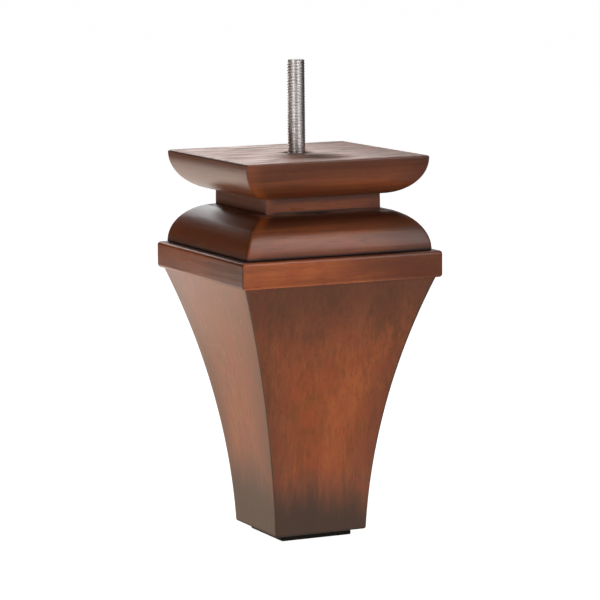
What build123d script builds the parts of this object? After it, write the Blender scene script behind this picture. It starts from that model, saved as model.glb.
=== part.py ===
"""Square wooden furniture foot: a flared leg block under a moulded collar and capital, hung on a bolt.

Millimetres, +Z up, origin on the floor at the centre of the base. The foot is glued up from a leg block
with upright grain and two upper pieces whose grain lies flat, and it is square about the Z axis.
"""

import os

from build123d import *

# Floor pad
pad_width = 35.0
pad_thickness = 3.0
pad_corner_radius = 1.0

# Leg block: upright grain, the same hollow flare on all four sides
base_width = 45.3
leg_top_width = 93.5
leg_height = 117.0
flare_radius = 380.0
leg_arris = 0.8
base_arris = 0.5

# Collar: flat square board between the leg block and the capital
collar_width = 98.0
collar_thickness = 12.0
collar_arris = 0.9

# Capital: ovolo, neck and top plate worked from one block
ovolo_width = 90.8
ovolo_edge = 0.3
ovolo_radius = 18.0
neck_width = 56.5
neck_height = 6.7
neck_arris = 0.6
plate_width = 89.5
plate_radius = 16.7
plate_edge = 0.8
plate_arris = 0.4

# M8 hanger bolt: machine thread above the seat, plain shank and wood-screw end inside
stud_diameter = 8.0
stud_length = 42.0
stud_chamfer = 1.0
shank_diameter = 7.0
shank_length = 24.0
screw_diameter = 6.6
screw_length = 54.0
screw_point_length = 9.0
screw_point_diameter = 1.2
bolt_clearance = 0.1
bolt_relief_margin = 1.0
bolt_relief_depth = 1.0

# Pair of glued dowels across the collar
dowel_diameter = 8.0
dowel_length = 40.0
dowel_spacing = 44.0
dowel_chamfer = 1.0
dowel_clearance = 0.05
dowel_end_gap = 1.0

# Levels, from the floor up
leg_bottom = pad_thickness
collar_bottom = leg_bottom + leg_height
collar_top = collar_bottom + collar_thickness
ovolo_top = collar_top + ovolo_edge + ovolo_radius
plate_bottom = ovolo_top + neck_height
seat_level = plate_bottom + plate_radius + plate_edge
stud_top = seat_level + stud_length
shank_bottom = seat_level - shank_length
screw_bottom = shank_bottom - screw_length
dowel_level = (collar_bottom + collar_top) / 2


def worked_square(section, width):
    """Block with the same section along X and along Y, so its corners are mitred."""
    with BuildPart() as block:
        extrude(section, amount=width / 2, both=True)
        extrude(section.rotate(Axis.Z, 90), amount=width / 2, both=True, mode=Mode.INTERSECT)
    return block.part


def mitre_edges(block):
    """Edges of a worked square that climb its four diagonal corners."""
    return block.edges().filter_by(lambda edge: abs(abs(edge.center().X) - abs(edge.center().Y)) < 1e-3)


# Bolt hole: shank bore, wood-screw bore with its point, and a relief round the mouth
shank_bore_radius = shank_diameter / 2 + bolt_clearance
screw_bore_radius = screw_diameter / 2 + bolt_clearance
point_bore_radius = screw_point_diameter / 2 + bolt_clearance
relief_radius = stud_diameter / 2 + bolt_relief_margin
with BuildPart() as bolt_hole:
    with BuildSketch(Plane.XZ):
        with BuildLine():
            Polyline(
                (0, seat_level),
                (relief_radius, seat_level),
                (shank_bore_radius, seat_level - bolt_relief_depth),
                (shank_bore_radius, shank_bottom - bolt_clearance),
                (screw_bore_radius, shank_bottom - bolt_clearance),
                (screw_bore_radius, screw_bottom + screw_point_length),
                (point_bore_radius, screw_bottom - bolt_clearance),
                (0, screw_bottom - bolt_clearance),
                close=True,
            )
        make_face()
    revolve(axis=Axis.Z)

# Dowel holes: a pair through the collar, blind in the wood above and below it
with BuildPart() as dowel_holes:
    with Locations((0, 0, dowel_level)):
        with GridLocations(dowel_spacing, 0, 2, 1):
            Cylinder(dowel_diameter / 2 + dowel_clearance, dowel_length + 2 * dowel_end_gap)

# Leg block
with BuildSketch(Plane.XZ) as leg_section:
    with BuildLine():
        Line((0, leg_bottom), (base_width / 2, leg_bottom))
        RadiusArc((base_width / 2, leg_bottom), (leg_top_width / 2, collar_bottom), flare_radius)
        Line((leg_top_width / 2, collar_bottom), (0, collar_bottom))
        mirror(about=Plane.YZ)
    make_face()
with BuildPart() as leg_block:
    add(worked_square(leg_section.sketch, leg_top_width))
    fillet(mitre_edges(leg_block), leg_arris)
    fillet(leg_block.faces().sort_by(Axis.Z)[0].edges(), base_arris)
    add(bolt_hole.part, mode=Mode.SUBTRACT)
    add(dowel_holes.part, mode=Mode.SUBTRACT)
leg_block.part.label = "leg_block"

# Collar
with BuildPart() as collar:
    with BuildSketch(Plane.XY.offset(collar_bottom)):
        Rectangle(collar_width, collar_width)
    extrude(amount=collar_thickness)
    fillet(collar.edges(), collar_arris)
    add(bolt_hole.part, mode=Mode.SUBTRACT)
    add(dowel_holes.part, mode=Mode.SUBTRACT)
collar.part.label = "collar"

# Capital: the neck is the core, the ovolo swells out below it and the plate above it, with crisp mitres
with BuildSketch(Plane.XZ) as ovolo_section:
    with Locations((0, collar_top)):
        Rectangle(ovolo_width, ovolo_edge + ovolo_radius, align=(Align.CENTER, Align.MIN))
    fillet(ovolo_section.vertices().group_by(Axis.Y)[-1], ovolo_radius)
with BuildSketch(Plane.XZ) as plate_section:
    with Locations((0, seat_level)):
        Rectangle(plate_width, plate_edge + plate_radius, align=(Align.CENTER, Align.MAX))
    fillet(plate_section.vertices().group_by(Axis.Y)[0], plate_radius)
    chamfer(plate_section.vertices().group_by(Axis.Y)[-1], plate_arris)
with BuildPart() as capital:
    with BuildSketch(Plane.XY.offset(collar_top)):
        RectangleRounded(neck_width, neck_width, neck_arris)
    extrude(amount=seat_level - collar_top)
    add(worked_square(ovolo_section.sketch, ovolo_width))
    add(worked_square(plate_section.sketch, plate_width))
    add(bolt_hole.part, mode=Mode.SUBTRACT)
    add(dowel_holes.part, mode=Mode.SUBTRACT)
capital.part.label = "capital"

# Hanger bolt
with BuildPart() as hanger_bolt:
    with BuildSketch(Plane.XZ):
        with BuildLine():
            Polyline(
                (0, stud_top),
                (stud_diameter / 2 - stud_chamfer, stud_top),
                (stud_diameter / 2, stud_top - stud_chamfer),
                (stud_diameter / 2, seat_level),
                (shank_diameter / 2, seat_level),
                (shank_diameter / 2, shank_bottom),
                (screw_diameter / 2, shank_bottom),
                (screw_diameter / 2, screw_bottom + screw_point_length),
                (screw_point_diameter / 2, screw_bottom),
                (0, screw_bottom),
                close=True,
            )
        make_face()
    revolve(axis=Axis.Z)
hanger_bolt.part.label = "hanger_bolt"

# Dowels
with BuildPart() as dowels:
    with Locations((0, 0, dowel_level)):
        with GridLocations(dowel_spacing, 0, 2, 1):
            Cylinder(dowel_diameter / 2, dowel_length)
    chamfer(dowels.edges().filter_by(GeomType.CIRCLE), dowel_chamfer)
dowels.part.label = "dowels"

# Floor pad
with BuildPart() as floor_pad:
    with BuildSketch():
        RectangleRounded(pad_width, pad_width, pad_corner_radius)
    extrude(amount=pad_thickness)
floor_pad.part.label = "floor_pad"

os.makedirs("parts", exist_ok=True)
export_step(leg_block.part, "parts/leg_block.step")
export_step(collar.part, "parts/collar.step")
export_step(capital.part, "parts/capital.step")
export_step(hanger_bolt.part, "parts/hanger_bolt.step")
export_step(dowels.part, "parts/dowels.step")
export_step(floor_pad.part, "parts/floor_pad.step")
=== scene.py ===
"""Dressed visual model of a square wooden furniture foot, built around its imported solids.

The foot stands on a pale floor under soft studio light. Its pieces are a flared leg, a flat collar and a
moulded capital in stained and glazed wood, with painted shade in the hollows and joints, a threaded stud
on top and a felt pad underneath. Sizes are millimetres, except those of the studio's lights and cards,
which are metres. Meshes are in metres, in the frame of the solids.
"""

import logging
import math
import random
from collections.abc import Mapping, Sequence
from dataclasses import dataclass
from enum import Enum
from typing import Any, Union

import bmesh
import bpy
from mathutils import Matrix, Vector

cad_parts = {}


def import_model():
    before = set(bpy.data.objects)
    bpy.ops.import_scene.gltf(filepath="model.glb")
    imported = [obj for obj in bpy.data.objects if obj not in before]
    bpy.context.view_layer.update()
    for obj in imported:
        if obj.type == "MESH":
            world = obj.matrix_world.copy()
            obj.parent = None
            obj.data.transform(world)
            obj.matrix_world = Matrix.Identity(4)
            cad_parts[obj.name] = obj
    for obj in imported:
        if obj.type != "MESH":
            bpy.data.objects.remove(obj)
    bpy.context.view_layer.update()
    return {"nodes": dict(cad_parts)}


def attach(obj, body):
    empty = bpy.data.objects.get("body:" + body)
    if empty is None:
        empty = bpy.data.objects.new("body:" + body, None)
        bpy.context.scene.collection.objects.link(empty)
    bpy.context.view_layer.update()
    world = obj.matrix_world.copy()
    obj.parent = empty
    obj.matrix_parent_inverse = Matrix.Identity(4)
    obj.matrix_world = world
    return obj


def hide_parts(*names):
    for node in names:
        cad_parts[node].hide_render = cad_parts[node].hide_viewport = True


Source = Union[bpy.types.Node, bpy.types.NodeSocket]
Mesh = bmesh.types.BMesh
Verts = list[bmesh.types.BMVert]
Edges = list[bmesh.types.BMEdge]
Pair = tuple[float, float]
Place = tuple[float, float, float]

MM = 0.001
BODY = "root"
LOG = logging.getLogger("furniture_foot")

# Edges that turn by more than this are shaded as sharp ones.
SHARP_ANGLE = math.radians(28.0)
# Vertices that lie closer than this are merged, in metres.
MERGE_DISTANCE = 1e-7
# Places that differ by less than this count as the same, in metres.
SLACK = 1e-6
# Faces whose normal rises by more than this count as flat ones.
FLAT_NORMAL = 0.9


class GrainRun(Enum):
    """Which way the fibres of a wooden piece run."""

    UPRIGHT = "along Z"
    FLAT = "along X"


class Axis(Enum):
    """Axis of the object along which a glaze band fades."""

    X = "X"
    Y = "Y"
    Z = "Z"


class Seen(Enum):
    """How a card acts: only in reflections, or only as light on matt surfaces."""

    REFLECTED = "glossy"
    AS_LIGHT = "diffuse"


class Facing(Enum):
    """Direction that a card faces, with none of its own for a card that faces the foot."""

    UP = (0.0, 0.0, 1.0)
    FORWARD = (0.0, -1.0, 0.0)
    LEFT = (-1.0, 0.0, 0.0)
    RIGHT = (1.0, 0.0, 0.0)
    THE_FOOT = None


class Kind(Enum):
    """Kinds of shader node that the finishes are made of, with the mode of those that have several.

    The inputs of a range are its value, the two ends that come in and the two ends that go out.
    """

    BUMP = ("ShaderNodeBump",)
    COORDS = ("ShaderNodeTexCoord",)
    NOISE = ("ShaderNodeTexNoise",)
    OUTPUT = ("ShaderNodeOutputMaterial",)
    SEPARATE = ("ShaderNodeSeparateXYZ",)
    SHADER = ("ShaderNodeBsdfPrincipled",)
    RANGE = ("ShaderNodeMapRange", "interpolation_type", "LINEAR")
    SOFT_RANGE = ("ShaderNodeMapRange", "interpolation_type", "SMOOTHSTEP")
    MAPPING = ("ShaderNodeMapping", "vector_type", "POINT")
    INVERSE_MAPPING = ("ShaderNodeMapping", "vector_type", "TEXTURE")
    MIX_NUMBERS = ("ShaderNodeMix", "data_type", "FLOAT")
    MIX_VECTORS = ("ShaderNodeMix", "data_type", "VECTOR")
    MIX_COLOURS = ("ShaderNodeMix", "data_type", "RGBA")
    MULTIPLY_VECTORS = ("ShaderNodeVectorMath", "operation", "MULTIPLY")
    LENGTH = ("ShaderNodeVectorMath", "operation", "LENGTH")
    ABSOLUTE = ("ShaderNodeMath", "operation", "ABSOLUTE")
    ADD = ("ShaderNodeMath", "operation", "ADD")
    SUBTRACT = ("ShaderNodeMath", "operation", "SUBTRACT")
    MULTIPLY = ("ShaderNodeMath", "operation", "MULTIPLY")
    MULTIPLY_ADD = ("ShaderNodeMath", "operation", "MULTIPLY_ADD")
    DIVIDE = ("ShaderNodeMath", "operation", "DIVIDE")
    MINIMUM = ("ShaderNodeMath", "operation", "MINIMUM")
    MAXIMUM = ("ShaderNodeMath", "operation", "MAXIMUM")
    GREATER = ("ShaderNodeMath", "operation", "GREATER_THAN")


def linear(colour: str) -> tuple[float, float, float, float]:
    """Turn an sRGB hex colour into linear RGBA.

    Args:
        colour: Hex colour such as "#8b4a2b".

    Returns:
        Linear red, green and blue, with an alpha of one.
    """
    parts = [int(colour[i : i + 2], 16) / 255.0 for i in (1, 3, 5)]
    red, green, blue = (c / 12.92 if c <= 0.04045 else ((c + 0.055) / 1.055) ** 2.4 for c in parts)
    return red, green, blue, 1.0


def add_node(
    tree: bpy.types.NodeTree, kind: Kind, inputs: Mapping[str, Any] | Sequence[Any] = ()
) -> bpy.types.Node:
    """Add a node to a tree, set it up and link it.

    Args:
        tree: Node tree that takes the node.
        kind: Kind of the node.
        inputs: What goes into its inputs, by name or in their order: a value to set, a socket to link, or a
            node whose first output in use is linked.

    Returns:
        The new node.
    """
    node_type, *mode = kind.value
    node = tree.nodes.new(node_type)
    if mode:
        setattr(node, *mode)
    for key, value in inputs.items() if isinstance(inputs, Mapping) else enumerate(inputs):
        if isinstance(value, bpy.types.Node):
            value = next(output for output in value.outputs if output.enabled)
        if isinstance(value, bpy.types.NodeSocket):
            tree.links.new(value, node.inputs[key])
        else:
            node.inputs[key].default_value = value
    return node


def new_material(name: str) -> tuple[bpy.types.Material, bpy.types.NodeTree]:
    """Make a material with no nodes yet.

    Args:
        name: Name of the material.

    Returns:
        The material and its node tree.
    """
    material = bpy.data.materials.new(name)
    material.use_nodes = True
    material.node_tree.nodes.clear()
    return material, material.node_tree


@dataclass(frozen=True)
class Ground:
    """Nodes that the layers of a wood finish share: where a point is, and which way its face looks."""

    tree: bpy.types.NodeTree
    coords: bpy.types.NodeSocket
    place: bpy.types.Node
    facing: bpy.types.Node
    on_x_side: bpy.types.Node


@dataclass(frozen=True)
class GlazeAndShadeBand:
    """Band of dark glaze, with painted shade where it lies in a hollow, under a part or at a joint: its
    darkest level, its reach to either side and its strength.

    A share gives its strength on the faces that look along X, a slant lifts it towards the rear left, and a
    worn share of it has gone from the corners at the left ends of the front and the back. The last two are
    shares of the reach: where the fade starts and ends, and how far its ragged edge wanders.
    """

    darkest: float
    reach_below: float
    reach_above: float
    strength: float
    axis: Axis = Axis.Z
    on_x_sides: float = 1.0
    slant: float = 0.0
    worn: float = 0.0
    fade: Pair = (0.34, 1.34)
    ragged: float = 0.5

    def share(self, ground: Ground, ragged: Source) -> Source:
        """Share of glaze and painted shade that the band leaves, before wear.

        Args:
            ground: Nodes that the layers share.
            ragged: Noise that breaks up the edges of the band.

        Returns:
            Share of glaze and painted shade, from zero to one.
        """
        tree = ground.tree
        height = ground.place.outputs[self.axis.value]
        if self.slant:
            forward = add_node(tree, Kind.SUBTRACT, (ground.place.outputs["X"], ground.place.outputs["Y"]))
            height = add_node(tree, Kind.MULTIPLY_ADD, (forward, self.slant, height))
        slopes = []
        for reach in (-self.reach_below, self.reach_above):
            wander = add_node(tree, Kind.MULTIPLY_ADD, (ragged, self.ragged * reach * MM, height))
            start, end = ((self.darkest + part * reach) * MM for part in self.fade)
            slopes.append(add_node(tree, Kind.SOFT_RANGE, (wander, start, end, 1.0, 0.0)))
        both = add_node(tree, Kind.MINIMUM, slopes)
        strengths = (self.strength, self.strength * self.on_x_sides)
        strength = add_node(tree, Kind.RANGE, (ground.on_x_side, 0.0, 1.0, *strengths))
        return add_node(tree, Kind.MULTIPLY, (both, strength))


@dataclass(frozen=True)
class RawTop:
    """Sawn top face with a thin, greyish stain and hardly any lacquer."""

    # To the eye it is dull and streaked along the grain, dark round the bolt hole with torn fibres and
    # painted shade, and duller still, with painted shade, from there to the front edge and towards the right.
    stain: str = "#9c7d6b"
    stain_share: float = 0.55
    facing_up: float = 0.97
    streak_mm: Pair = (5.0, 20.0)
    streak_range: Pair = (0.4, 0.65)
    streak_glaze: float = 0.6
    streak_depth: float = 3.0
    extra_roughness: float = 0.11
    torn_roughness: float = 0.4
    torn_radius: float = 4.6
    clean_radius: float = 9.5
    # Torn fibres and painted shade round the stud's foot.
    torn_fibre_and_shade: float = 0.95
    # Duller patch with painted shade in front of the stud, and the same towards the right.
    dull_shade_centre: Pair = (-2.0, -24.0)
    dull_shade_radii: Pair = (25.0, 27.0)
    dull_shade_strength: float = 1.6
    right_reach: Pair = (-8.0, 40.0)
    right_dull_shade: float = 0.6
    dull_shade_darkening: float = 0.4

    def mix_in(self, ground: Ground, sides: Sequence[Source]) -> tuple[Source, ...]:
        """Change the finish on the faces that look up.

        Args:
            ground: Nodes that the layers share.
            sides: Stain, share of glaze and painted shade, roughness and relief of the other faces.

        Returns:
            Stain, share of glaze and painted shade, roughness and relief with the raw top mixed in.
        """
        tree = ground.tree
        stain, glaze, roughness, relief = sides
        on_top = add_node(tree, Kind.GREATER, (ground.facing.outputs["Z"], self.facing_up))
        thin = add_node(tree, Kind.MULTIPLY, (on_top, self.stain_share))
        stain = add_node(tree, Kind.MIX_COLOURS, {"Factor": thin, "A": stain, "B": linear(self.stain)})
        across, along = (1.0 / (size * MM) for size in self.streak_mm)
        spread = add_node(tree, Kind.MAPPING, {"Vector": ground.coords, "Scale": (along, across, across)})
        grain = {"Vector": spread, "Scale": 1.0, "Detail": 4.0, "Roughness": 0.6}
        fleck = add_node(tree, Kind.NOISE, grain)
        streaky = add_node(tree, Kind.RANGE, (fleck, *self.streak_range, 0.0, self.streak_glaze))
        flat = add_node(tree, Kind.MULTIPLY_VECTORS, (ground.coords, (1.0, 1.0, 0.0)))
        radius = add_node(tree, Kind.LENGTH, (flat,))
        radii = (self.torn_radius * MM, self.clean_radius * MM)
        # Torn fibres and painted shade round the stud's foot.
        torn_and_shade = add_node(tree, Kind.SOFT_RANGE, (radius, *radii, self.torn_fibre_and_shade, 0.0))
        centre = tuple(c * MM for c in self.dull_shade_centre) + (0.0,)
        size = tuple(r * MM for r in self.dull_shade_radii) + (1.0,)
        patch = add_node(tree, Kind.INVERSE_MAPPING, {"Vector": flat, "Location": centre, "Scale": size})
        from_patch = add_node(tree, Kind.LENGTH, (patch,))
        front = add_node(tree, Kind.SOFT_RANGE, (from_patch, 0.0, 1.0, self.dull_shade_strength, 0.0))
        span = (reach * MM for reach in self.right_reach)
        right = add_node(tree, Kind.RANGE, (ground.place.outputs["X"], *span, 0.0, self.right_dull_shade))
        # Duller, with painted shade, in front of the stud and towards the right.
        dull_shade = add_node(tree, Kind.MAXIMUM, (front, right))
        patchy = add_node(tree, Kind.MULTIPLY_ADD, (dull_shade, self.dull_shade_darkening, streaky))
        worn = add_node(tree, Kind.MAXIMUM, (dull_shade, streaky))
        glaze = add_node(tree, Kind.MIX_NUMBERS, {"Factor": on_top, "A": glaze, "B": patchy})
        glaze = add_node(tree, Kind.MAXIMUM, (glaze, torn_and_shade))
        dull = add_node(tree, Kind.MULTIPLY_ADD, (worn, self.torn_roughness, self.extra_roughness))
        roughness = add_node(tree, Kind.MULTIPLY_ADD, (on_top, dull, roughness))
        roughness = add_node(tree, Kind.MULTIPLY_ADD, (torn_and_shade, self.torn_roughness, roughness))
        saw_marks = add_node(tree, Kind.MULTIPLY, (fleck, self.streak_depth))
        relief = add_node(tree, Kind.MULTIPLY_ADD, (on_top, saw_marks, relief))
        return stain, glaze, roughness, relief


@dataclass(frozen=True)
class StainedWood:
    """Close-grained hardwood, planed, with a red-brown stain, a wiped dark glaze, a sprayed lacquer and
    painted shade.
    """

    # To the eye, the stain gives streaks along the fibres and ruddy blotches, the glaze stays dark in corners
    # and near the ends and is worn off some arrises, painted shade darkens the hollows, the joints and the
    # arrises at the sides, and the lacquer lays a satin sheen over faint pores.
    name: str
    grain: GrainRun
    bands: tuple[GlazeAndShadeBand, ...]
    clear_stain: str = "#a85728"
    deep_stain: str = "#8a4821"
    ruddy_stain: str = "#a04a26"
    # Colour of the dark glaze, also laid on as painted shade in the bands and on the arrises.
    glaze: str = "#2b1811"
    # Nearly black, for glaze pooled in the joints and for painted shade where parts meet and along the bottom
    # edge.
    pool_and_shade_colour: str = "#0e0806"
    # Widths across and lengths along the fibres. Real pores are about 0.1 mm wide, which is too fine to show
    # in the render, so they are drawn coarser.
    figure_mm: Pair = (16.0, 110.0)
    streak_mm: Pair = (1.7, 40.0)
    pore_mm: Pair = (0.55, 8.0)
    blotch_mm: float = 9.0
    relief_mm: float = 0.06
    # Noise between which a tone comes in, and the most of it that then shows.
    clear_range: Pair = (0.66, 1.12)
    streak_share: float = 0.8
    ruddy_range: Pair = (0.4, 0.65)
    ruddy_share: float = 0.7
    pore_range: Pair = (0.56, 0.74)
    pore_share: float = 0.45
    pore_depth: float = 0.6
    ragged_streaks: float = 0.4
    # Glaze along a side, from its middle at 0 to its corner at 1.
    corner_start: float = 0.45
    corner_glaze: float = 0.35
    # On the arrises, dark glaze and painted shade together; both are left off the left ends of the front and
    # the back.
    arris_range: Pair = (0.935, 0.975)
    arris_glaze_and_shade: float = 0.9
    worn_range: Pair = (0.8, 0.97)
    end_grain: float = 0.0
    # Band of pooled glaze and painted shade where parts meet or stand on the floor, which is rougher as well.
    pool_and_shade: GlazeAndShadeBand | None = None
    sheen_roughness: float = 0.27
    sheen_spread: float = 0.06
    glaze_roughness: float = 0.08
    pool_and_shade_roughness: float = 0.4
    lacquer_ior: float = 1.42
    # A face looks along X only where its normal leans that way by this much more than along Y.
    x_side_margin: float = 0.05
    top: RawTop | None = None

    def material(self) -> bpy.types.Material:
        """Build the node material.

        Returns:
            The material.
        """
        material, tree = new_material(self.name)
        coords = add_node(tree, Kind.COORDS)
        place = add_node(tree, Kind.SEPARATE, (coords.outputs["Object"],))
        facing = add_node(tree, Kind.SEPARATE, (coords.outputs["Normal"],))
        side_x = add_node(tree, Kind.ABSOLUTE, (facing.outputs["X"],))
        side_y = add_node(tree, Kind.ABSOLUTE, (facing.outputs["Y"],))
        clear_y = add_node(tree, Kind.ADD, (side_y, self.x_side_margin))
        on_x_side = add_node(tree, Kind.GREATER, (side_x, clear_y))
        ground = Ground(tree, coords.outputs["Object"], place, facing, on_x_side)
        figure = self._stretched(ground, self.figure_mm, detail=3.0)
        streak = self._stretched(ground, self.streak_mm, detail=4.0)
        pore = self._stretched(ground, self.pore_mm, detail=2.0)
        pores = add_node(tree, Kind.SOFT_RANGE, (pore, *self.pore_range, 0.0, self.pore_share))
        ragged = add_node(tree, Kind.MIX_NUMBERS, {"Factor": self.ragged_streaks, "A": figure, "B": streak})
        # This share holds the glaze and the painted shade together.
        glaze = self._glaze_and_shade_share(ground, ragged)
        least, most = self.sheen_roughness - self.sheen_spread, self.sheen_roughness + self.sheen_spread
        sheen = add_node(tree, Kind.RANGE, (figure, 0.0, 1.0, least, most))
        roughness = add_node(tree, Kind.MULTIPLY_ADD, (glaze, self.glaze_roughness, sheen))
        relief = add_node(tree, Kind.MULTIPLY_ADD, (pores, -self.pore_depth, streak))
        stain = self._stain(ground, figure, streak)
        if self.top is not None:
            stain, glaze, roughness, relief = self.top.mix_in(ground, (stain, glaze, roughness, relief))
        layers = [(glaze, self.glaze), (pores, self.glaze)]
        if self.pool_and_shade is not None:
            pool_and_shade = self.pool_and_shade.share(ground, ragged)
            layers.append((pool_and_shade, self.pool_and_shade_colour))
            roughness = add_node(tree, Kind.MULTIPLY_ADD, (pool_and_shade, self.pool_and_shade_roughness, roughness))
        for share, colour in layers:
            stain = add_node(tree, Kind.MIX_COLOURS, {"Factor": share, "A": stain, "B": linear(colour)})
        depth = {"Strength": 1.0, "Distance": self.relief_mm * MM, "Height": relief}
        bump = add_node(tree, Kind.BUMP, depth)
        surface = {"Base Color": stain, "Roughness": roughness, "IOR": self.lacquer_ior, "Normal": bump}
        add_node(tree, Kind.OUTPUT, {"Surface": add_node(tree, Kind.SHADER, surface)})
        return material

    def _stretched(self, ground: Ground, size_mm: Pair, detail: float) -> Source:
        """Draw noise out along the fibres, or along each side where a board was wiped lengthways.

        Args:
            ground: Nodes that the layers share.
            size_mm: Width across and length along the fibres of one patch.
            detail: Octaves of finer noise on top.

        Returns:
            Noise from zero to one.
        """
        tree = ground.tree
        across, along = (1.0 / (size * MM) for size in size_mm)
        place = {"Vector": ground.coords}
        if self.grain is GrainRun.UPRIGHT:
            spread = add_node(tree, Kind.MAPPING, place | {"Scale": (across, across, along)})
        else:
            along_x = add_node(tree, Kind.MAPPING, place | {"Scale": (along, across, across)})
            along_y = add_node(tree, Kind.MAPPING, place | {"Scale": (across, along, across)})
            sides = {"Factor": ground.on_x_side, "A": along_x, "B": along_y}
            spread = add_node(tree, Kind.MIX_VECTORS, sides)
        grain = {"Vector": spread, "Scale": 1.0, "Detail": detail, "Roughness": 0.55}
        return add_node(tree, Kind.NOISE, grain)

    def _stain(self, ground: Ground, figure: Source, streak: Source) -> Source:
        """Colour the stain under the glaze.

        Args:
            ground: Nodes that the layers share.
            figure: Broad noise along the fibres.
            streak: Fine noise along the fibres.

        Returns:
            Colour of the stain.
        """
        tree = ground.tree
        tone = add_node(tree, Kind.MULTIPLY_ADD, (streak, self.streak_share, figure))
        clear = add_node(tree, Kind.SOFT_RANGE, (tone, *self.clear_range, 0.0, 1.0))
        tones = {"Factor": clear, "A": linear(self.deep_stain), "B": linear(self.clear_stain)}
        stain = add_node(tree, Kind.MIX_COLOURS, tones)
        scale = 1.0 / (self.blotch_mm * MM)
        blotches = {"Vector": ground.coords, "Scale": scale, "Detail": 3.0, "Roughness": 0.6}
        blotch = add_node(tree, Kind.NOISE, blotches)
        ruddy = add_node(tree, Kind.SOFT_RANGE, (blotch, *self.ruddy_range, 0.0, self.ruddy_share))
        return add_node(tree, Kind.MIX_COLOURS, {"Factor": ruddy, "A": stain, "B": linear(self.ruddy_stain)})

    def _glaze_and_shade_share(self, ground: Ground, ragged: Source) -> Source:
        """Share of dark glaze left by wiping, and of painted shade: towards the corners, on the arrises, in
        bands and on end grain.

        Args:
            ground: Nodes that the layers share.
            ragged: Noise that breaks up the edges of the bands.

        Returns:
            Share of glaze, from zero to one.
        """
        tree = ground.tree
        reaches = [add_node(tree, Kind.ABSOLUTE, (ground.place.outputs[axis],)) for axis in ("X", "Y")]
        near = add_node(tree, Kind.MINIMUM, reaches)
        far = add_node(tree, Kind.MAXIMUM, reaches)
        along_side = add_node(tree, Kind.DIVIDE, (near, far))
        right_end = add_node(tree, Kind.GREATER, (ground.place.outputs["X"], 0.0))
        unworn = add_node(tree, Kind.MAXIMUM, (right_end, ground.on_x_side))
        corner = (self.corner_start, 1.0, 0.0, self.corner_glaze)
        # Dark glaze and painted shade on the arrises, left off the left ends of the front and the back.
        arris = add_node(tree, Kind.SOFT_RANGE, (along_side, *self.arris_range, 0.0, self.arris_glaze_and_shade))
        shares = [
            add_node(tree, Kind.SOFT_RANGE, (along_side, *corner)),
            add_node(tree, Kind.MULTIPLY, (arris, unworn)),
        ]
        for band in self.bands:
            share = band.share(ground, ragged)
            if band.worn:
                worn = add_node(tree, Kind.SOFT_RANGE, (along_side, *self.worn_range, 1.0, 1.0 - band.worn))
                left_over = add_node(tree, Kind.MAXIMUM, (worn, unworn))
                share = add_node(tree, Kind.MULTIPLY, (share, left_over))
            shares.append(share)
        total = add_node(tree, Kind.MULTIPLY, (ground.on_x_side, self.end_grain))
        for share in shares:
            total = add_node(tree, Kind.MAXIMUM, (total, share))
        return total


@dataclass(frozen=True)
class PlatedSteel:
    """Mild steel with rolled threads and bright zinc plating, and a sawn top end."""

    # To the eye it is a cool grey with fairly sharp, slightly patchy reflections, and dull on the cut end.
    name: str = "zinc_plated_steel"
    plating: str = "#e8e4e3"
    tarnish: str = "#cdc8c7"
    cut: str = "#8d8986"
    patch_mm: float = 3.0
    tarnish_range: Pair = (0.45, 0.8)
    roughness: Pair = (0.25, 0.42)
    cut_roughness: float = 0.3
    facing_up: float = 0.95

    def material(self) -> bpy.types.Material:
        """Build the node material.

        Returns:
            The material.
        """
        material, tree = new_material(self.name)
        coords = add_node(tree, Kind.COORDS)
        facing = add_node(tree, Kind.SEPARATE, (coords.outputs["Normal"],))
        cut_end = add_node(tree, Kind.GREATER, (facing.outputs["Z"], self.facing_up))
        patching = {"Vector": coords.outputs["Object"], "Scale": 1.0 / (self.patch_mm * MM), "Detail": 4.0}
        patches = add_node(tree, Kind.NOISE, patching)
        share = add_node(tree, Kind.RANGE, (patches, *self.tarnish_range, 0.0, 1.0))
        tones = {"Factor": share, "A": linear(self.plating), "B": linear(self.tarnish)}
        colour = add_node(tree, Kind.MIX_COLOURS, tones)
        dulled = add_node(tree, Kind.MIX_COLOURS, {"Factor": cut_end, "A": colour, "B": linear(self.cut)})
        rough = add_node(tree, Kind.RANGE, (patches, 0.0, 1.0, *self.roughness))
        rougher = add_node(tree, Kind.MULTIPLY_ADD, (cut_end, self.cut_roughness, rough))
        surface = {"Metallic": 1.0, "Base Color": dulled, "Roughness": rougher}
        add_node(tree, Kind.OUTPUT, {"Surface": add_node(tree, Kind.SHADER, surface)})
        return material


@dataclass(frozen=True)
class PressedFelt:
    """Needled wool felt, dyed dark and drawn near black as painted shade under the leg's overhang."""

    # To the eye it is dull, with a fine mottled nap. Real fibres are about 0.03 mm thick, which is too fine
    # to show in the render, so the nap is drawn coarser.
    name: str = "pressed_felt"
    # Near black partly as painted shade, where the pad sits under the leg's edge.
    dark: str = "#0c0a08"
    light: str = "#1d1815"
    fibre_mm: float = 0.6
    nap_mm: float = 0.3
    nap_strength: float = 0.6
    roughness: float = 0.95
    specular: float = 0.1
    sheen: float = 0.06

    def material(self) -> bpy.types.Material:
        """Build the node material.

        Returns:
            The material.
        """
        material, tree = new_material(self.name)
        place = {"Vector": add_node(tree, Kind.COORDS).outputs["Object"]}
        fibres = {"Scale": 1.0 / (self.fibre_mm * MM), "Detail": 5.0, "Roughness": 0.7}
        nap = add_node(tree, Kind.NOISE, place | fibres)
        tones = {"Factor": nap, "A": linear(self.dark), "B": linear(self.light)}
        depth = {"Strength": self.nap_strength, "Distance": self.nap_mm * MM, "Height": nap}
        surface = {
            "Base Color": add_node(tree, Kind.MIX_COLOURS, tones),
            "Roughness": self.roughness,
            "Specular IOR Level": self.specular,
            "Sheen Weight": self.sheen,
            "Normal": add_node(tree, Kind.BUMP, depth),
        }
        add_node(tree, Kind.OUTPUT, {"Surface": add_node(tree, Kind.SHADER, surface)})
        return material


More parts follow.
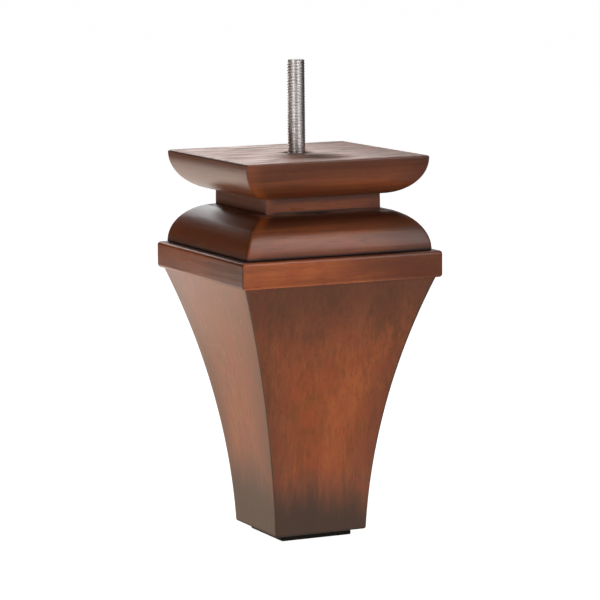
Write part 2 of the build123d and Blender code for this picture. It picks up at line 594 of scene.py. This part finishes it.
@dataclass(frozen=True)
class BareBeech:
    """Turned beech, unfinished."""

    # To the eye it is a pale straw colour, dull, with short darker flecks along the pin.
    name: str = "bare_beech"
    pale: str = "#d9b98c"
    fleck: str = "#b08a5c"
    fleck_mm: Pair = (0.7, 3.5)
    fleck_range: Pair = (0.5, 0.75)
    roughness: float = 0.6

    def material(self) -> bpy.types.Material:
        """Build the node material.

        Returns:
            The material.
        """
        material, tree = new_material(self.name)
        across, along = (1.0 / (size * MM) for size in self.fleck_mm)
        place = {"Vector": add_node(tree, Kind.COORDS).outputs["Object"]}
        spread = add_node(tree, Kind.MAPPING, place | {"Scale": (across, across, along)})
        flecks = add_node(tree, Kind.NOISE, {"Vector": spread, "Scale": 1.0, "Detail": 3.0})
        share = add_node(tree, Kind.RANGE, (flecks, *self.fleck_range, 0.0, 1.0))
        tones = {"Factor": share, "A": linear(self.pale), "B": linear(self.fleck)}
        surface = {"Base Color": add_node(tree, Kind.MIX_COLOURS, tones), "Roughness": self.roughness}
        add_node(tree, Kind.OUTPUT, {"Surface": add_node(tree, Kind.SHADER, surface)})
        return material


@dataclass(frozen=True)
class MattSheet:
    """Matt sheet of one colour, with or without a glow of its own."""

    # To the eye it is even all over, so each value is set on the shader.
    name: str
    colour: str
    roughness: float
    specular: float
    tint: str
    glow: float

    def material(self) -> bpy.types.Material:
        """Build the node material.

        Returns:
            The material.
        """
        material, tree = new_material(self.name)
        surface = {
            "Base Color": linear(self.colour),
            "Roughness": self.roughness,
            "Specular IOR Level": self.specular,
            "Emission Color": linear(self.tint),
            "Emission Strength": self.glow,
        }
        add_node(tree, Kind.OUTPUT, {"Surface": add_node(tree, Kind.SHADER, surface)})
        return material


def edges_at(verts: Verts) -> Edges:
    """Edges that meet at any of the vertices, each once and always in the same order."""
    return list(dict.fromkeys(edge for vert in verts for edge in vert.link_edges))


def flat_loop(
    bm: Mesh, radius: float, level: float, segments: int, x: float = 0.0, turn: float = 0.0
) -> Verts:
    """Start a round loop of edges that lies flat.

    Args:
        bm: Mesh that takes the loop.
        radius: Radius of the loop, in millimetres.
        level: Height of the loop, in millimetres.
        segments: Number of its edges.
        x: Distance of its centre from the middle, along X, in millimetres.
        turn: Angle by which it is turned, in radians.

    Returns:
        The vertices of the loop.
    """
    place = Matrix.Translation((x * MM, 0.0, level * MM)) @ Matrix.Rotation(turn, 4, "Z")
    made = bmesh.ops.create_circle(bm, cap_ends=False, segments=segments, radius=radius * MM, matrix=place)
    return made["verts"]


def raise_ring(bm: Mesh, ring: Edges, grow: float, rise: float) -> Edges:
    """Extrude a loop into the next one up or down.

    Args:
        bm: Mesh that holds the loop.
        ring: Edges of the loop.
        grow: Factor by which the new loop is wider.
        rise: Height from the old loop to the new one, in millimetres.

    Returns:
        The edges of the new loop.
    """
    made = bmesh.ops.extrude_edge_only(bm, edges=ring)["geom"]
    verts = [item for item in made if isinstance(item, bmesh.types.BMVert)]
    fresh = set(verts)
    bmesh.ops.scale(bm, vec=(grow, grow, 1.0), verts=verts)
    bmesh.ops.translate(bm, vec=(0.0, 0.0, rise * MM), verts=verts)
    return [item for item in made if isinstance(item, bmesh.types.BMEdge) and fresh.issuperset(item.verts)]


def make_round(ring: Edges, radius: float) -> None:
    """Move the vertices of a loop out or in to a radius in millimetres."""
    for vert in {vert for edge in ring for vert in edge.verts}:
        vert.co.xy *= radius * MM / vert.co.xy.length


def loft_square(bm: Mesh, profile: Sequence[Pair], cuts: int) -> tuple[Edges, Edges]:
    """Raise square loops along a profile.

    Args:
        bm: Empty mesh that takes the walls.
        profile: Half widths and levels, in millimetres.
        cuts: Points added along each side of the square.

    Returns:
        The first and the last loop of edges.
    """
    half, level = profile[0]
    corners = flat_loop(bm, half * math.sqrt(2.0), level, 4, turn=math.pi / 4.0)
    bmesh.ops.subdivide_edges(bm, edges=edges_at(corners), cuts=cuts)
    first = ring = list(bm.edges)
    for (half, level), (next_half, next_level) in zip(profile, profile[1:]):
        ring = raise_ring(bm, ring, next_half / half, next_level - level)
    return first, ring


def cut_board(width: float, thickness: float, bottom: float) -> Mesh:
    """Start a mesh with a square board that lies flat.

    Args:
        width: Side of the board, in millimetres.
        thickness: Height of the board, in millimetres.
        bottom: Level of its underside, in millimetres.

    Returns:
        The mesh.
    """
    bm = bmesh.new()
    size = Matrix.Diagonal((width * MM, width * MM, thickness * MM, 1.0))
    place = Matrix.Translation((0.0, 0.0, (bottom + thickness / 2.0) * MM))
    bmesh.ops.create_cube(bm, size=1.0, matrix=place @ size)
    return bm


def climbs(edge: bmesh.types.BMEdge) -> bool:
    """Tell whether one end of an edge is higher than the other."""
    return abs(edge.verts[0].co.z - edge.verts[1].co.z) > SLACK


def corner_edges(bm: Mesh) -> Edges:
    """Edges that climb the four diagonal corners of a square mesh."""
    on_corner = {vert for vert in bm.verts if abs(abs(vert.co.x) - abs(vert.co.y)) < SLACK}
    return [edge for edge in bm.edges if on_corner.issuperset(edge.verts) and climbs(edge)]


def ease(bm: Mesh, edges: Edges, width: float, steps: int) -> None:
    """Round edges over.

    Args:
        bm: Mesh that holds the edges.
        edges: Edges to round.
        width: Distance that the rounding takes from either face, in millimetres.
        steps: Faces across the rounding.
    """
    bmesh.ops.bevel(
        bm,
        geom=edges,
        offset=width * MM,
        offset_type="OFFSET",
        affect="EDGES",
        segments=steps,
        profile=0.5,
        material=-1,
    )


def arc(centre: Pair, radius: float, start: float, end: float, steps: int) -> list[Pair]:
    """Points on an arc of a profile.

    Args:
        centre: Half width and level of the arc's centre.
        radius: Radius of the arc.
        start: First angle in degrees, from the outward direction towards the top.
        end: Last angle in degrees.
        steps: Number of steps.

    Returns:
        Half widths and levels, in the units given.
    """
    angles = [math.radians(start + (end - start) * i / steps) for i in range(steps + 1)]
    return [(centre[0] + radius * math.cos(a), centre[1] + radius * math.sin(a)) for a in angles]


@dataclass(frozen=True)
class HiddenHoles:
    """Bolt hole and pair of dowel holes that run through the wooden pieces."""

    screw_radius: float = 3.4
    screw_straight_end: float = 105.5
    screw_point_radius: float = 0.7
    screw_end: float = 96.4
    dowel_radius: float = 4.05
    dowel_reach: float = 22.0
    dowel_bottom: float = 105.0
    dowel_top: float = 147.0
    segments: int = 64

    def mouths(self, bm: Mesh, level: float) -> list[Edges]:
        """Open a flat end face and fill it again round the mouths of the holes.

        Args:
            bm: Mesh of the piece.
            level: Level of the end face, in millimetres.

        Returns:
            Edges of the bolt hole's mouth, then of each dowel hole's.
        """
        face = next(f for f in bm.faces if all(abs(v.co.z - level * MM) < SLACK for v in f.verts))
        outline = list(face.edges)
        bmesh.ops.delete(bm, geom=[face], context="FACES_ONLY")
        dowels = [(reach, self.dowel_radius) for reach in (-self.dowel_reach, self.dowel_reach)]
        holes = [(0.0, self.screw_radius), *dowels]
        rings = [edges_at(flat_loop(bm, radius, level, self.segments, x)) for x, radius in holes]
        bmesh.ops.triangle_fill(bm, use_beauty=True, edges=sum(rings, outline))
        return rings

    def sink(self, bm: Mesh, mouth: Edges, depth: float) -> None:
        """Sink a blind hole by a depth in millimetres from its mouth, up or down."""
        bmesh.ops.contextual_create(bm, geom=raise_ring(bm, mouth, 1.0, depth))


def make_object(bm: Mesh, name: str, material: bpy.types.Material) -> bpy.types.Object:
    """Turn a mesh into an object of the scene.

    Args:
        bm: Finished mesh, which is freed.
        name: Name of the object.
        material: Finish of the object.

    Returns:
        The object.
    """
    mesh = bpy.data.meshes.new(name)
    bm.to_mesh(mesh)
    bm.free()
    mesh.materials.append(material)
    made = bpy.data.objects.new(name, mesh)
    bpy.context.collection.objects.link(made)
    return made


def finish_piece(
    bm: Mesh, name: str, material: bpy.types.Material, node: str
) -> bpy.types.Object:
    """Args:
        bm: Finished mesh, which is freed.
        name: Name of the piece.
        material: Finish of the piece.
        node: Solid that the piece stands for.

    Returns:
        The piece.
    """
    bmesh.ops.remove_doubles(bm, verts=list(bm.verts), dist=MERGE_DISTANCE)
    bmesh.ops.recalc_face_normals(bm, faces=list(bm.faces))
    for face in bm.faces:
        face.smooth = True
    for edge in bm.edges:
        if edge.calc_face_angle(0.0) > SHARP_ANGLE:
            edge.smooth = False
    piece = make_object(bm, name, material)
    even = piece.modifiers.new("even_normals", "WEIGHTED_NORMAL")
    even.keep_sharp = True
    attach(piece, BODY)
    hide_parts(node)
    return piece


@dataclass
class FlaredLeg:
    """Leg block with hollow flared sides, upright grain and a rounded arris down each corner."""

    bottom: float = 3.0
    height: float = 117.0
    base_width: float = 45.3
    top_width: float = 93.5
    flare_radius: float = 380.0
    arris: float = 1.1
    arris_steps: int = 4
    rings: int = 40
    cuts: int = 15
    holes: HiddenHoles = HiddenHoles()

    def half_width(self, level: float) -> float:
        """Find half the width of the leg at a level.

        Args:
            level: Height above the floor, in millimetres.

        Returns:
            Half the width, in millimetres.
        """
        low = Vector((self.base_width / 2.0, self.bottom))
        high = Vector((self.top_width / 2.0, self.bottom + self.height))
        chord = high - low
        drop = math.sqrt(self.flare_radius**2 - (chord.length / 2.0) ** 2)
        centre = (low + high) / 2.0 + Vector((chord.y, -chord.x)).normalized() * drop
        return centre.x - math.sqrt(self.flare_radius**2 - (level - centre.y) ** 2)

    def build(self) -> Mesh:
        """Raise the leg ring by ring, close it, round its arrises and sink the holes in its top.

        Returns:
            The mesh.
        """
        levels = [self.bottom + self.height * i / self.rings for i in range(self.rings + 1)]
        bm = bmesh.new()
        foot, head = loft_square(bm, [(self.half_width(level), level) for level in levels], self.cuts)
        bmesh.ops.contextual_create(bm, geom=foot)
        bmesh.ops.contextual_create(bm, geom=head)
        ease(bm, corner_edges(bm) + foot, self.arris, self.arris_steps)
        top = self.bottom + self.height
        bolt, *dowels = self.holes.mouths(bm, top)
        straight = raise_ring(bm, bolt, 1.0, self.holes.screw_straight_end - top)
        taper = self.holes.screw_end - self.holes.screw_straight_end
        point = raise_ring(bm, straight, self.holes.screw_point_radius / self.holes.screw_radius, taper)
        bmesh.ops.contextual_create(bm, geom=point)
        for dowel in dowels:
            self.holes.sink(bm, dowel, self.holes.dowel_bottom - top)
        return bm

    def dress(self) -> bpy.types.Object:
        """Build the leg and give it its finish: dark above the pad, with pooled glaze and painted shade along
        the bottom edge, and with glaze and painted shade under the collar.

        Returns:
            The finished piece.
        """
        wood = StainedWood(
            name="stained_upright_wood",
            grain=GrainRun.UPRIGHT,
            bands=(
                GlazeAndShadeBand(9.0, 80.0, 31.0, 0.94, on_x_sides=0.92, slant=0.14),
                # Glaze with painted shade under the collar's overhang.
                GlazeAndShadeBand(122.0, 54.0, 10.0, 0.66, on_x_sides=0.4),
            ),
            # Grey-brown glaze, also laid on as painted shade under the collar.
            glaze="#37281f",
            corner_start=0.3,
            corner_glaze=0.45,
            arris_range=(0.945, 0.98),
            # Pooled glaze and painted shade along the bottom edge, just above the pad.
            pool_and_shade=GlazeAndShadeBand(3.0, 1.0, 1.4, 0.95),
        )
        return finish_piece(self.build(), "flared_leg", wood.material(), "leg_block")


@dataclass
class FlatCollar:
    """Square board with flat grain and eased arrises."""

    bottom: float = 120.0
    thickness: float = 12.0
    width: float = 98.0
    arris: float = 1.5
    arris_steps: int = 4
    holes: HiddenHoles = HiddenHoles()

    def build(self) -> Mesh:
        """Cut the board, ease its edges and drill it through.

        Returns:
            The mesh.
        """
        bm = cut_board(self.width, self.thickness, self.bottom)
        ease(bm, list(bm.edges), self.arris, self.arris_steps)
        below = self.holes.mouths(bm, self.bottom)
        above = self.holes.mouths(bm, self.bottom + self.thickness)
        for low, high in zip(below, above):
            bmesh.ops.bridge_loops(bm, edges=low + high)
        return bm

    def dress(self) -> bpy.types.Object:
        """Build the collar and give it its finish: brighter wood, darker to the right and at the left front,
        and pooled glaze with painted shade on the ledge under the capital.

        Returns:
            The finished piece.
        """
        wood = StainedWood(
            name="stained_collar_wood",
            grain=GrainRun.FLAT,
            bands=(
                # Darker towards the right.
                GlazeAndShadeBand(48.0, 80.0, 10.0, 0.66, Axis.X),
                GlazeAndShadeBand(-48.0, 10.0, 80.0, 0.06, Axis.Y, on_x_sides=12.0),
            ),
            clear_stain="#bb602b",
            deep_stain="#9a4f24",
            corner_glaze=0.15,
            arris_glaze_and_shade=0.5,
            end_grain=0.4,
            # Pooled glaze and painted shade on the ledge under the capital.
            pool_and_shade=GlazeAndShadeBand(132.2, 0.5, 1.0, 1.0),
        )
        return finish_piece(self.build(), "flat_collar", wood.material(), "collar")


@dataclass
class MouldedCapital:
    """One block with a quarter-round ovolo, a square neck and an upturned quarter-round plate."""

    bottom: float = 132.0
    ovolo_width: float = 90.8
    ovolo_edge: float = 0.3
    ovolo_radius: float = 18.0
    neck_width: float = 56.5
    neck_height: float = 6.7
    plate_width: float = 89.5
    plate_radius: float = 16.7
    plate_edge: float = 0.8
    plate_arris: float = 0.7
    arris: float = 1.1
    relief_radius: float = 5.0
    relief_depth: float = 1.0
    bore_radius: float = 3.6
    bore_depth: float = 24.1
    rim_wander: float = 0.35
    rim_seed: int = 7
    top_rings: tuple[float, ...] = (42.0, 28.0, 14.0, 8.0)
    arc_steps: int = 20
    arris_steps: int = 4
    cuts: int = 15
    holes: HiddenHoles = HiddenHoles()

    def profile(self) -> list[Pair]:
        """Draw the profile from the joint with the collar up to the top face.

        Returns:
            Half widths and levels, in millimetres.
        """
        neck = self.neck_width / 2.0
        ovolo_centre = (self.ovolo_width / 2.0 - self.ovolo_radius, self.bottom + self.ovolo_edge)
        ovolo_end = math.degrees(math.acos((neck - ovolo_centre[0]) / self.ovolo_radius))
        plate_level = ovolo_centre[1] + self.ovolo_radius + self.neck_height + self.plate_radius
        plate_centre = (self.plate_width / 2.0 - self.plate_radius, plate_level)
        plate_start = -math.degrees(math.acos((neck - plate_centre[0]) / self.plate_radius))
        rim_level = plate_level + self.plate_edge - self.plate_arris
        rim_centre = (self.plate_width / 2.0 - self.plate_arris, rim_level)
        points = [(self.ovolo_width / 2.0, self.bottom)]
        points += arc(ovolo_centre, self.ovolo_radius, 0.0, ovolo_end, self.arc_steps)
        points += arc(plate_centre, self.plate_radius, plate_start, 0.0, self.arc_steps)
        points += arc(rim_centre, self.plate_arris, 0.0, 90.0, self.arris_steps)
        return points

    def build(self) -> Mesh:
        """Raise the block along its profile, sink the holes and ease the mitres.

        Returns:
            The mesh.
        """
        points = self.profile()
        field_half, top = points[-1]
        bm = bmesh.new()
        foot, head = loft_square(bm, points, self.cuts)
        bmesh.ops.contextual_create(bm, geom=foot)
        mitres = corner_edges(bm)
        mouth = flat_loop(bm, self.relief_radius, top, 4 * (self.cuts + 1))
        rim = edges_at(mouth)
        dice = random.Random(self.rim_seed)
        for vert in mouth:
            vert.co.xy *= 1.0 + dice.uniform(-1.0, 1.0) * self.rim_wander / self.relief_radius
        for half in self.top_rings:
            head = raise_ring(bm, head, half / field_half, 0.0)
            field_half = half
        bmesh.ops.bridge_loops(bm, edges=head + rim)
        throat = raise_ring(bm, rim, 1.0, -self.relief_depth)
        make_round(throat, self.bore_radius)
        shank_end = raise_ring(bm, throat, 1.0, self.relief_depth - self.bore_depth)
        step = raise_ring(bm, shank_end, self.holes.screw_radius / self.bore_radius, 0.0)
        ease(bm, mitres + foot, self.arris, self.arris_steps)
        bolt, *dowels = self.holes.mouths(bm, self.bottom)
        bmesh.ops.bridge_loops(bm, edges=bolt + [edge for edge in step if edge.is_valid])
        for dowel in dowels:
            self.holes.sink(bm, dowel, self.holes.dowel_top - self.bottom)
        return bm

    def dress(self) -> bpy.types.Object:
        """Build the capital and give it its finish: dark with glaze and painted shade in the hollows, under
        the rim and at the joint with the collar, and darker to the right.

        Returns:
            The finished piece.
        """
        wood = StainedWood(
            name="stained_capital_wood",
            grain=GrainRun.FLAT,
            bands=(
                GlazeAndShadeBand(133.0, 2.0, 8.0, 0.42, on_x_sides=1.6, worn=0.85),
                # Glaze with painted shade at the top of the ovolo under the neck, on the neck and under the
                # plate.
                GlazeAndShadeBand(150.5, 10.0, 1.0, 0.9, on_x_sides=0.75, worn=0.85),
                GlazeAndShadeBand(157.0, 4.5, 14.0, 0.75, on_x_sides=0.8, worn=0.5),
                GlazeAndShadeBand(174.0, 20.0, 1.0, 0.69, worn=0.3),
                GlazeAndShadeBand(174.4, 1.8, 1.0, 0.38, on_x_sides=2.5),
                # Darker towards the right.
                GlazeAndShadeBand(50.0, 56.0, 10.0, 0.74, Axis.X),
            ),
            corner_glaze=0.25,
            arris_glaze_and_shade=0.7,
            end_grain=0.63,
            # Pooled glaze and painted shade at the joint with the collar.
            pool_and_shade=GlazeAndShadeBand(132.0, 1.0, 1.6, 1.0),
            top=RawTop(),
        )
        return finish_piece(self.build(), "moulded_capital", wood.material(), "capital")


@dataclass(frozen=True)
class ScrewThread:
    """Ridge of a screw thread: radii, pitch and the flat left on its crest and root."""

    crest_radius: float
    root_radius: float
    pitch: float
    crest_flat: float
    root_flat: float


@dataclass
class HangerBolt:
    """Hanger bolt with a machine thread above the seat, and a shank and wood screw inside the foot."""

    top: float = 216.5
    thread_start: float = 174.0
    shank_radius: float = 3.5
    shank_bottom: float = 150.5
    shoulder: float = 0.4
    run_out: float = 1.5
    screw_bottom: float = 96.5
    point_length: float = 9.0
    point_radius: float = 0.6
    tip_chamfer: float = 0.4
    steps: int = 48
    # Whole turns that are spun beyond the ends of a thread, and then cut off.
    spare_turns: int = 3
    # A real thread of this pitch is 0.77 mm deep. It is drawn 0.24 mm deep, so that the stud looks almost
    # smooth.
    machine: ScrewThread = ScrewThread(4.0, 3.76, 1.25, 0.4, 0.25)
    wood: ScrewThread = ScrewThread(3.3, 2.55, 3.2, 0.25, 1.6)

    def thread(self, bm: Mesh, thread: ScrewThread, low: float, high: float) -> Verts:
        """Spin a toothed line one turn while it climbs one pitch, which closes it into a thread.

        Args:
            bm: Mesh that takes the thread.
            thread: Form of the ridge.
            low: Level where the thread is cut off below, in millimetres.
            high: Level where it is cut off above, in millimetres.

        Returns:
            The vertices of the thread, with open ends at both levels.
        """
        flank = (thread.pitch - thread.crest_flat - thread.root_flat) / 2.0
        tooth = (
            (thread.crest_radius, 0.0),
            (thread.crest_radius, thread.crest_flat),
            (thread.root_radius, thread.crest_flat + flank),
            (thread.root_radius, thread.crest_flat + flank + thread.root_flat),
        )
        start = low - self.spare_turns / 2.0 * thread.pitch
        turns = math.ceil((high - low) / thread.pitch) + self.spare_turns
        before = set(bm.verts)
        line = [
            bm.verts.new((radius * MM, 0.0, (start + turn * thread.pitch + rise) * MM))
            for turn in range(turns)
            for radius, rise in tooth
        ]
        edges = [bm.edges.new(pair) for pair in zip(line, line[1:])]
        bmesh.ops.spin(
            bm,
            geom=line + edges,
            cent=(0.0, 0.0, 0.0),
            axis=(0.0, 0.0, 1.0),
            dvec=(0.0, 0.0, thread.pitch * MM / self.steps),
            angle=2.0 * math.pi,
            steps=self.steps,
            use_merge=False,
        )
        verts = [vert for vert in bm.verts if vert not in before]
        bmesh.ops.remove_doubles(bm, verts=verts, dist=SLACK)
        for level, outward in ((low, -1.0), (high, 1.0)):
            verts = [vert for vert in bm.verts if vert not in before]
            faces = list(dict.fromkeys(face for vert in verts for face in vert.link_faces))
            bmesh.ops.bisect_plane(
                bm,
                geom=verts + edges_at(verts) + faces,
                dist=MERGE_DISTANCE,
                plane_co=(0.0, 0.0, level * MM),
                plane_no=(0.0, 0.0, outward),
                clear_outer=True,
            )
        return [vert for vert in bm.verts if vert not in before]

    @staticmethod
    def open_ring(verts: Verts, level: float) -> Edges:
        """Open edges among the vertices that lie at a level in millimetres."""
        edges = [edge for edge in edges_at(verts) if edge.is_boundary]
        return [edge for edge in edges if all(abs(v.co.z - level * MM) < 2.0 * SLACK for v in edge.verts)]

    @staticmethod
    def limit(verts: Verts, level: float, radius: float, slope: float) -> None:
        """Keep vertices inside a cone.

        Args:
            verts: Vertices to hold in.
            level: Level of the cone's small end, in millimetres.
            radius: Radius there, in millimetres.
            slope: Radius gained per millimetre away from that level.
        """
        for vert in verts:
            allowed = (radius + slope * abs(vert.co.z / MM - level)) * MM
            reach = vert.co.xy.length
            if reach > allowed:
                vert.co.xy *= allowed / reach

    def build(self) -> Mesh:
        """Cut both threads, taper their ends and join them by the shank.

        Returns:
            The mesh.
        """
        bm = bmesh.new()
        machine = self.thread(bm, self.machine, self.thread_start, self.top)
        self.limit(machine, self.top, self.machine.crest_radius - self.tip_chamfer, 1.0)
        bmesh.ops.contextual_create(bm, geom=self.open_ring(machine, self.top))
        neck = raise_ring(bm, self.open_ring(machine, self.thread_start), 1.0, -self.shoulder)
        make_round(neck, self.shank_radius)
        shank = raise_ring(bm, neck, 1.0, self.shank_bottom - self.thread_start + self.shoulder)
        screw_top = self.shank_bottom - self.run_out
        screw = self.thread(bm, self.wood, self.screw_bottom, screw_top)
        spread = (self.wood.crest_radius - self.point_radius) / self.point_length
        self.limit(screw, self.screw_bottom, self.point_radius, spread)
        bmesh.ops.contextual_create(bm, geom=self.open_ring(screw, self.screw_bottom))
        bmesh.ops.bridge_loops(bm, edges=shank + self.open_ring(screw, screw_top))
        return bm

    def dress(self) -> bpy.types.Object:
        """Build the bolt and give it its finish."""
        steel = PlatedSteel().material()
        return finish_piece(self.build(), "threaded_hanger_bolt", steel, "hanger_bolt")


@dataclass
class FeltPad:
    """Square felt pad with slightly soft, uneven edges."""

    width: float = 35.0
    thickness: float = 3.0
    arris: float = 0.5
    arris_steps: int = 3
    corner_radius: float = 1.2
    corner_steps: int = 5
    side_cuts: int = 47
    wander: float = 0.12
    wander_seed: int = 11

    def build(self) -> Mesh:
        """Cut the pad, round it and let its edge wander.

        Returns:
            The mesh.
        """
        bm = cut_board(self.width, self.thickness, 0.0)
        ease(bm, [edge for edge in bm.edges if climbs(edge)], self.corner_radius, self.corner_steps)
        sides = [edge for edge in bm.edges if edge.calc_length() > self.width / 2.0 * MM]
        bmesh.ops.subdivide_edges(bm, edges=sides, cuts=self.side_cuts, use_grid_fill=True)
        flat = {face for face in bm.faces if abs(face.normal.z) > FLAT_NORMAL}
        rims = [edge for edge in bm.edges if len(flat.intersection(edge.link_faces)) == 1]
        ease(bm, rims, self.arris, self.arris_steps)
        dice = random.Random(self.wander_seed)
        edge_zone = (self.width / 2.0 - 1.5 * self.arris) * MM
        for vert in bm.verts:
            if max(abs(vert.co.x), abs(vert.co.y)) > edge_zone:
                vert.co.xy *= 1.0 - dice.uniform(0.0, 2.0) * self.wander / self.width
        return bm

    def dress(self) -> bpy.types.Object:
        """Build the pad and give it its finish."""
        return finish_piece(self.build(), "felt_pad", PressedFelt().material(), "floor_pad")


@dataclass
class DowelPins:
    """Pair of glued dowels inside the foot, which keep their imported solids."""

    solids: bpy.types.Object

    def dress(self) -> bpy.types.Object:
        """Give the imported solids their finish.

        Returns:
            The same object.
        """
        self.solids.data.materials.clear()
        self.solids.data.materials.append(BareBeech().material())
        return self.solids


@dataclass(frozen=True)
class Softbox:
    """Soft panel light: where it stands, what it looks at, its size and its power."""

    name: str
    place: Place
    target: Place
    width: float
    height: float
    power: float

    def build(self) -> bpy.types.Object:
        """Hang the panel and turn it to its target.

        Returns:
            The light.
        """
        data = bpy.data.lights.new(self.name, "AREA")
        data.shape = "RECTANGLE"
        data.size = self.width
        data.size_y = self.height
        data.energy = self.power
        lamp = bpy.data.objects.new(self.name, data)
        bpy.context.collection.objects.link(lamp)
        aim = Vector(self.target) - Vector(self.place)
        lamp.matrix_world = Matrix.Translation(self.place) @ aim.to_track_quat("-Z", "Y").to_matrix().to_4x4()
        return lamp


@dataclass(frozen=True)
class Card:
    """Flat card out of the camera's sight: black when it has no glow, white or tinted when it has."""

    name: str
    place: Place
    facing: Facing
    width: float
    height: float
    glow: float = 0.0
    tint: str = "#ffffff"
    seen: Seen = Seen.REFLECTED
    paint: str = "#000000"
    foot: Place = (0.0, 0.0, 0.15)

    def build(self) -> bpy.types.Object:
        """Cut the card, turn it the way it faces and set it up.

        Returns:
            The card.
        """
        bm = bmesh.new()
        aim = Vector(self.facing.value or Vector(self.foot) - Vector(self.place))
        turn = aim.to_track_quat("Z", "Y").to_matrix().to_4x4()
        size = Matrix.Diagonal((self.width, self.height, 1.0, 1.0))
        place = Matrix.Translation(self.place) @ turn @ size
        bmesh.ops.create_grid(bm, x_segments=1, y_segments=1, size=0.5, matrix=place)
        sheet = MattSheet(self.name, self.paint, roughness=1.0, specular=0.0, tint=self.tint, glow=self.glow)
        card = make_object(bm, self.name, sheet.material())
        card.visible_camera = False
        card.visible_shadow = False
        card.visible_transmission = False
        card.visible_diffuse = self.seen is Seen.AS_LIGHT
        card.visible_glossy = self.seen is Seen.REFLECTED
        return card


@dataclass
class Studio:
    """Pale floor, soft panel lights, cards and the camera."""

    azimuth: float = -24.93
    elevation: float = 7.73
    roll: float = -0.60
    distance: float = 1451.3
    focal_pixels: float = 3189.0
    image_pixels: float = 600.0
    target: Place = (0.738, -0.343, 107.1)
    floor_radius: float = 12000.0
    floor_segments: int = 64
    floor_gap: float = 0.1
    floor_sheet: MattSheet = MattSheet("matt_white_floor", "#898989", 0.9, 0.1, "#ffffff", 0.98)
    surround: str = "#c0bcb8"
    surround_strength: float = 0.1
    light_target: Place = (0.0, 0.0, 0.11)

    def camera(self) -> bpy.types.Object:
        """Set up the camera at the photograph's angle.

        Returns:
            The camera.
        """
        turn, tilt, roll = (math.radians(a) for a in (self.azimuth, self.elevation, self.roll))
        right = Vector((math.cos(turn), math.sin(turn), 0.0))
        back = Vector((math.sin(turn) * math.cos(tilt), -math.cos(turn) * math.cos(tilt), math.sin(tilt)))
        up = back.cross(right)
        level = right * math.cos(roll) + up * math.sin(roll)
        upright = up * math.cos(roll) - right * math.sin(roll)
        data = bpy.data.cameras.new("camera")
        data.sensor_fit = "HORIZONTAL"
        data.lens = self.focal_pixels * data.sensor_width / self.image_pixels
        camera = bpy.data.objects.new("camera", data)
        bpy.context.collection.objects.link(camera)
        place = (Vector(self.target) + back * self.distance) * MM
        axes = Matrix((level, upright, back)).transposed().to_4x4()
        camera.matrix_world = Matrix.Translation(place) @ axes
        bpy.context.scene.camera = camera
        return camera

    def floor(self) -> bpy.types.Object:
        """Lay a wide pale floor that glows a little, as a white studio sweep does.

        Returns:
            The floor.
        """
        bm = bmesh.new()
        loop = flat_loop(bm, self.floor_radius, -self.floor_gap, self.floor_segments)
        bmesh.ops.contextual_create(bm, geom=edges_at(loop))
        floor = make_object(bm, "floor", self.floor_sheet.material())
        return floor

    def cards(self) -> None:
        """Set up the black flags and the white cards."""
        for card in (
            Card("near_flag", (0.6, -0.22, 0.001), Facing.UP, 2.0, 0.28, 0.3),
            Card("front_flag", (0.6, -0.77, 0.001), Facing.UP, 2.0, 0.82),
            Card("left_flag", (-0.5, 0.75, 0.2), Facing.FORWARD, 0.9, 0.4),
            Card("far_left_flag", (-0.95, 0.35, 0.2), Facing.RIGHT, 0.8, 0.4),
            Card("right_flag", (0.8, 0.15, 0.25), Facing.LEFT, 1.3, 0.5),
            Card("right_floor_flag", (0.64, 0.33, 0.001), Facing.UP, 1.1, 0.8),
            Card("rear_flag", (0.38, 0.8, 0.09), Facing.FORWARD, 0.86, 0.14),
            Card("rear_card", (0.35, 1.2, 0.55), Facing.THE_FOOT, 1.0, 0.6, 3.2),
            Card("near_left_card", (-1.0, -0.7, 0.35), Facing.THE_FOOT, 0.45, 0.7, 2.2),
            Card("near_right_card", (0.14, -1.19, 0.35), Facing.THE_FOOT, 0.36, 0.7, 2.2),
            Card("front_floor_card", (0.02, -0.8, 0.0015), Facing.UP, 0.2, 0.8, 1.6),
            Card("near_floor_card", (-0.3, 0.115, 0.002), Facing.UP, 0.8, 0.35, 1.1, "#ffe9d2"),
            Card("far_floor_card", (-0.4, 0.575, 0.002), Facing.UP, 1.1, 0.57, 1.82, "#fff8ee"),
            Card("left_floor_card", (-0.7, 0.1, 0.003), Facing.UP, 1.0, 1.0, 1.35, seen=Seen.AS_LIGHT),
        ):
            card.build()

    def lights(self) -> None:
        """Hang the panels and set the dim surround."""
        world = bpy.data.worlds.new("surround")
        world.use_nodes = True
        sky = world.node_tree.nodes["Background"]
        sky.inputs["Color"].default_value = linear(self.surround)
        sky.inputs["Strength"].default_value = self.surround_strength
        bpy.context.scene.world = world
        for panel in (
            Softbox("front_panel", (0.54, -1.0, 0.78), self.light_target, 0.3, 1.0, 5.5),
            Softbox("top_panel", (0.1, 0.3, 1.1), self.light_target, 0.7, 0.7, 8.0),
        ):
            panel.build()

    def build(self) -> None:
        """Build the whole studio."""
        self.floor()
        self.cards()
        self.lights()
        self.camera()
        bpy.context.scene.view_settings.view_transform = "Standard"


def main() -> None:
    """Build the foot around its solids, report each piece, and build the studio."""
    logging.basicConfig(level=logging.INFO, format="%(name)s: %(message)s")
    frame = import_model()
    dowels = DowelPins(frame["nodes"]["dowels"])
    for part in (FlaredLeg(), FlatCollar(), MouldedCapital(), HangerBolt(), FeltPad(), dowels):
        piece = part.dress()
        LOG.info("%s: %d faces, %s", piece.name, len(piece.data.polygons), piece.data.materials[0].name)
    Studio().build()


if __name__ == "__main__":
    main()
